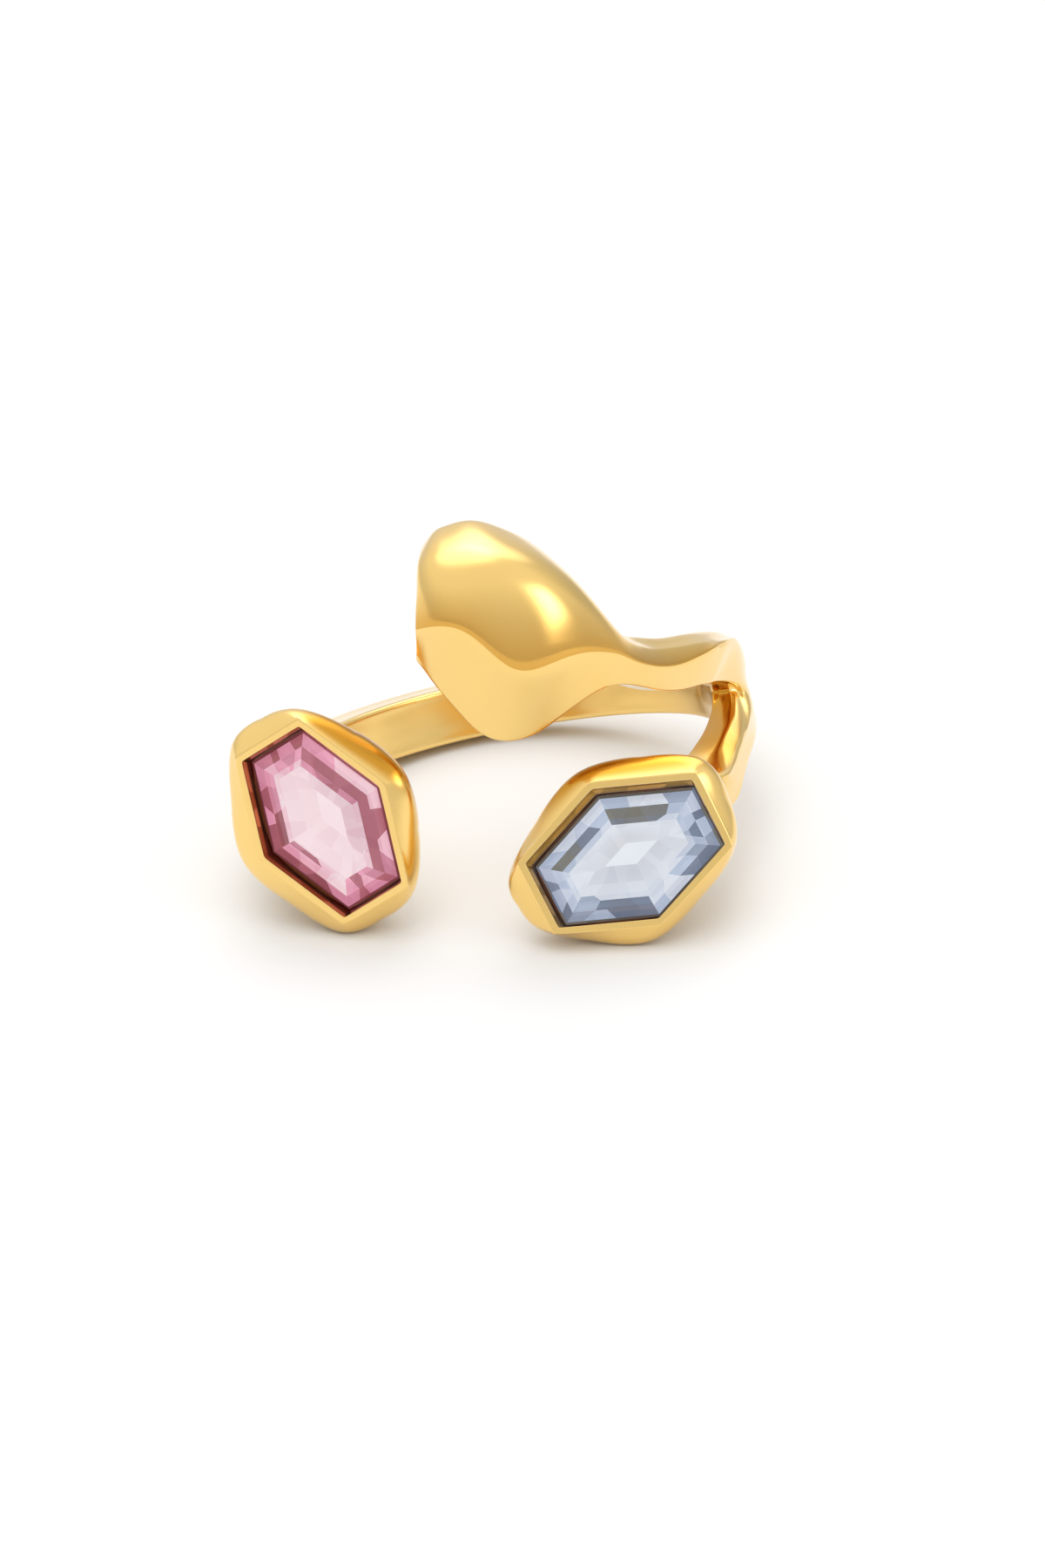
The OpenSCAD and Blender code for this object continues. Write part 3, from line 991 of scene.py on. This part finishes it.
def crystal_materials(name, tints_and_shades, pale_foil_and_glow, foil_deep):
    """Clear glass for a crystal's front and girdle, and tinted silver foil for its back, whose glow
    is painted light.
    """
    out = []
    for part in ("glass", "foil"):
        material, nodes, links, shader = new_material(name + "_" + part)
        tone = nodes.new("ShaderNodeAttribute")
        tone.attribute_name = "tone"
        if part == "glass":
            shader.inputs["Transmission Weight"].default_value = 1
            shader.inputs["IOR"].default_value = GLASS_IOR
            shader.inputs["Roughness"].default_value = 0.0
            stops = nodes.new("ShaderNodeValToRGB")
            stops.color_ramp.elements[0].color = (*tints_and_shades[0], 1)
            stops.color_ramp.elements[1].color = (*tints_and_shades[-1], 1)
            for at, tint in zip(TONE_STOPS, tints_and_shades[1:-1]):
                stops.color_ramp.elements.new(at).color = (*tint, 1)
            links.new(tone.outputs["Fac"], stops.inputs["Fac"])
            links.new(stops.outputs["Color"], shader.inputs["Base Color"])
        else:
            shader.inputs["Metallic"].default_value = 1
            add_polish(nodes, links, shader, FOIL_GRAIN, *FOIL_ROUGHNESS, 0)
            # Painted glow: the foil is no lamp; its emission stands in for light through the glass.
            mix_colours(
                nodes, links, tone.outputs["Fac"], pale_foil_and_glow, foil_deep,
                shader.inputs["Emission Color"],
            )
            shader.inputs["Emission Strength"].default_value = FOIL_PAINTED_GLOW
            grey = [[c * FOIL_SILVER for c in tint] for tint in (pale_foil_and_glow, foil_deep)]
            mix_colours(nodes, links, tone.outputs["Fac"], *grey, shader.inputs["Base Color"])
        out.append(material)
    return out


# Settings


def colour(name, description, default):
    """A colour property."""
    return FloatVectorProperty(
        name=name, description=description, subtype="COLOR", size=3, min=0, max=1, default=default
    )


class RingMetal(bpy.types.PropertyGroup):
    """The cast body's settings"""

    colour: colour("Gold", "Colour of the plating seen face on", (0.93, 0.645, 0.212))
    # deep and seat are colours of painted shade, reached where the shade attribute is at DEEP_AT
    # and at 1: the deep gold in the bowl, on the lower arm and the heads' walls, the brown in the
    # seats.
    deep: colour("Deep Gold", "Colour of the plating low in the bowl", (0.64, 0.31, 0.035))
    seat: colour("Seat", "Colour of the plating down in the seats", (0.15, 0.05, 0.015))
    roughness: FloatProperty(
        name="Roughness", description="How soft its reflections are", default=0.15, min=0, max=1
    )
    levels: IntProperty(
        name="Smoothness", description="Subdivision levels of the cage", default=3, min=1, max=4
    )


class RingCrystals(bpy.types.PropertyGroup):
    """The two crystals' settings"""

    # The glass colours run from the table's to the rim's along each facet's tone; the deeper ones
    # and the nearly black rims are partly the crystals' colour and partly painted shade and
    # reflection.
    pink_pale: colour("Pink Table", "Glass colour at the pink table", (1.0, 0.95, 0.97))
    pink_light: colour("Light Pink", "Glass colour of the lightest steps", (0.86, 0.26, 0.45))
    pink_mid: colour("Deep Pink", "Glass colour of the deep steps", (0.27, 0.045, 0.07))
    pink_deep: colour("Maroon", "Glass colour of the deepest steps", (0.10, 0.012, 0.015))
    pink_rim: colour("Pink Rim", "Glass colour at the pink rim", (0.015, 0.001, 0.001))
    blue_pale: colour("Blue Table", "Glass colour at the blue table", (0.98, 0.99, 1.0))
    blue_light: colour("Light Blue", "Glass colour of the lightest steps", (0.41, 0.50, 0.69))
    blue_mid: colour("Slate", "Glass colour of the deep steps", (0.055, 0.08, 0.14))
    blue_deep: colour("Olive", "Glass colour of the deepest steps", (0.06, 0.052, 0.032))
    blue_rim: colour("Blue Rim", "Glass colour at the blue rim", (0.008, 0.003, 0.002))
    # The foil colours also colour the foil's glow, which is painted light.
    pink_foil: colour("Pink Foil", "Foil colour behind the pink crystal", (0.81, 0.69, 0.71))
    pink_foil_deep: colour("Deep Pink Foil", "Its darker facets", (0.58, 0.32, 0.41))
    blue_foil: colour("Blue Foil", "Foil colour behind the blue crystal", (0.71, 0.735, 0.78))
    blue_foil_deep: colour("Deep Blue Foil", "Its darker facets", (0.42, 0.45, 0.52))


class RingStage(bpy.types.PropertyGroup):
    """The stage's settings"""

    floor: colour("Floor", "Colour of the floor", (0.74, 0.74, 0.74))
    sky: FloatProperty(name="Sky", description="Brightness overhead", default=1.0, min=0)
    horizon: FloatProperty(
        name="Horizon", description="Brightness just above the floor", default=0.74, min=0
    )


# Stage


def towards(azimuth, elevation):
    """The way to a place in the studio: azimuth 0 is the viewer's side, 90 is +X."""
    a, e = math.radians(azimuth), math.radians(elevation)
    return Vector((math.sin(a) * math.cos(e), -math.cos(a) * math.cos(e), math.sin(e)))


def softbox(scene, name, azimuth, elevation, distance, size, radiance):
    """A square area light that faces the ring and lights the floor, unseen in the metal."""
    way = towards(azimuth, elevation)
    data = bpy.data.lights.new(name, "AREA")
    data.size = size
    data.energy = radiance * math.pi * size * size
    light = bpy.data.objects.new(name, data)
    light.visible_glossy = False
    scene.collection.objects.link(light)
    light.location = way * distance
    light.rotation_euler = way.to_track_quat("Z", "Y").to_euler()


def along(nodes, links, view, way):
    """How far a view goes along a way."""
    node = nodes.new("ShaderNodeVectorMath")
    node.operation = "DOT_PRODUCT"
    node.inputs[1].default_value = way
    links.new(view, node.inputs[0])
    return node.outputs["Value"]


def maths(nodes, links, operation, first, second):
    """A Math node on two sockets or numbers."""
    node = nodes.new("ShaderNodeMath")
    node.operation = operation
    for socket, value in zip(node.inputs, (first, second)):
        if isinstance(value, (int, float)):
            socket.default_value = value
        else:
            links.new(value, socket)
    return node.outputs[0]


def make_sky(scene, stage):
    """A pale sky, darker towards the horizon, with soft round lamps and one tall soft strip."""
    world = bpy.data.worlds.new("studio")
    scene.world = world
    world.use_nodes = True
    nodes, links = world.node_tree.nodes, world.node_tree.links
    view = nodes.new("ShaderNodeTexCoord").outputs["Generated"]
    up = along(nodes, links, view, (0, 0, 1))
    total = ramp(nodes, links, up, 0.0, SKY_FULL, stage.horizon, stage.sky)
    for azimuth, elevation, core, edge_at, gain in SOFT_LAMPS:
        near = along(nodes, links, view, towards(azimuth, elevation))
        outer, inner = math.cos(math.radians(edge_at)), math.cos(math.radians(core))
        total = maths(nodes, links, "ADD", total, ramp(nodes, links, near, outer, inner, 0, gain))
    azimuth, core, edge_at, low, high, gain = STRIP
    aside = maths(
        nodes, links, "ABSOLUTE", along(nodes, links, view, towards(azimuth + 90, 0)), 0
    )
    core, edge_at = math.sin(math.radians(core)), math.sin(math.radians(edge_at))
    band = ramp(nodes, links, aside, core, edge_at, gain, 0)
    fade, below, above = STRIP_FADES
    front = ramp(nodes, links, along(nodes, links, view, towards(azimuth, 0)), 0, fade, 0, 1)
    floor = ramp(nodes, links, up, low - below, low, 0, 1)
    ceiling = ramp(nodes, links, up, high, high + above, 1, 0)
    for mask in (front, floor, ceiling):
        band = maths(nodes, links, "MULTIPLY", band, mask)
    total = maths(nodes, links, "ADD", total, band)
    links.new(total, nodes["Background"].inputs["Strength"])
    nodes["Background"].inputs["Color"].default_value = (1, 1, 1, 1)


def make_camera(scene):
    """The camera, with the photograph's view."""
    turn = REST.to_3x3().normalized()
    tilt, roll = math.radians(CAMERA_TILT), math.radians(CAMERA_ROLL)
    forward = turn @ Vector((0, math.cos(tilt), -math.sin(tilt)))
    right = turn @ Vector(
        (math.cos(roll), -math.sin(roll) * math.sin(tilt), -math.sin(roll) * math.cos(tilt))
    )
    up = turn @ Vector(
        (math.sin(roll), math.cos(roll) * math.sin(tilt), math.cos(roll) * math.cos(tilt))
    )
    aside, above = (x / PHOTO_SCALE for x in PHOTO_MIDDLE)
    centre = REST.to_translation() + right * aside + up * above
    data = bpy.data.cameras.new("camera")
    data.sensor_fit = "HORIZONTAL"
    data.sensor_width = SENSOR_WIDTH
    data.lens = SENSOR_WIDTH * CAMERA_DISTANCE * PHOTO_SCALE / PHOTO_WIDTH
    data.clip_start = 0.01
    data.clip_end = 10
    camera = bpy.data.objects.new("camera", data)
    scene.collection.objects.link(camera)
    basis = Matrix((right, up, -forward)).transposed().to_4x4()
    camera.matrix_world = Matrix.Translation(centre - forward * CAMERA_DISTANCE) @ basis
    scene.camera = camera


# Operators and panel


class RING_OT_cast_body(bpy.types.Operator):
    """Build the cast gold body with its two heads"""

    bl_idname = "ring.cast_body"
    bl_label = "Cast Body"
    bl_options = {"REGISTER", "UNDO"}

    def execute(self, context):
        metal = context.scene.ring_metal
        body = object_from(cast_cage(), "cast_body", [gold_material(metal)])
        smooth = body.modifiers.new("Smooth", "SUBSURF")
        smooth.levels = smooth.render_levels = 1
        settle(body)
        smooth.levels = smooth.render_levels = metal.levels
        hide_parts("ring_body")
        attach(body, "root")
        return {"FINISHED"}


class RING_OT_crystals(bpy.types.Operator):
    """Cut and place the pink and the blue crystal"""

    bl_idname = "ring.crystals"
    bl_label = "Crystals"
    bl_options = {"REGISTER", "UNDO"}

    def execute(self, context):
        crystals = context.scene.ring_crystals
        parts = ("_pale", "_light", "_mid", "_deep", "_rim")
        for tint, head, tones in (("pink", PINK, PINK_TONES), ("blue", BLUE, BLUE_TONES)):
            name = tint + "_crystal"
            tints_and_shades = [getattr(crystals, tint + part) for part in parts]
            foil = [getattr(crystals, tint + part) for part in ("_foil", "_foil_deep")]
            materials = crystal_materials(name, tints_and_shades, *foil)
            stone = object_from(crystal_cut(head, tones), name + "_cut", materials)
            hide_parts(name)
            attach(stone, "root")
        return {"FINISHED"}


class RING_OT_stage(bpy.types.Operator):
    """Build the floor, the lights and the camera"""

    bl_idname = "ring.stage"
    bl_label = "Stage"
    bl_options = {"REGISTER", "UNDO"}

    def execute(self, context):
        scene = context.scene
        stage = scene.ring_stage
        bm = bmesh.new()
        bmesh.ops.create_grid(bm, x_segments=1, y_segments=1, size=1.0)
        mesh = bpy.data.meshes.new("floor")
        bm.to_mesh(mesh)
        bm.free()
        floor = bpy.data.objects.new("floor", mesh)
        scene.collection.objects.link(floor)
        material, *_, shader = new_material("white_floor")
        shader.inputs["Base Color"].default_value = (*stage.floor, 1)
        shader.inputs["Roughness"].default_value = FLOOR_ROUGHNESS
        shader.inputs["Specular IOR Level"].default_value = FLOOR_SPECULAR
        mesh.materials.append(material)
        make_sky(scene, stage)
        softbox(scene, "overhead", *OVERHEAD)
        make_camera(scene)
        scene.view_settings.view_transform = "Standard"
        return {"FINISHED"}


class RING_PT_panel(bpy.types.Panel):
    """The ring's steps in the 3D view's sidebar"""

    bl_idname = "RING_PT_panel"
    bl_label = "Crystal Ring"
    bl_space_type = "VIEW_3D"
    bl_region_type = "UI"
    bl_category = "Ring"

    def draw(self, context):
        for name in STEPS:
            self.layout.operator("ring." + name)


# Registration

STEPS = ("cast_body", "crystals", "stage")
SETTINGS = {"ring_metal": RingMetal, "ring_crystals": RingCrystals, "ring_stage": RingStage}
CLASSES = (
    *SETTINGS.values(), RING_OT_cast_body, RING_OT_crystals, RING_OT_stage, RING_PT_panel,
)


def register():
    for cls in CLASSES:
        bpy.utils.register_class(cls)
    for name, group in SETTINGS.items():
        setattr(bpy.types.Scene, name, PointerProperty(type=group))


def unregister():
    for name in SETTINGS:
        delattr(bpy.types.Scene, name)
    for cls in reversed(CLASSES):
        bpy.utils.unregister_class(cls)


def main():
    """Registers the add-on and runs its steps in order."""
    register()
    for name in STEPS:
        getattr(bpy.ops.ring, name)()


if __name__ == "__main__":
    main()
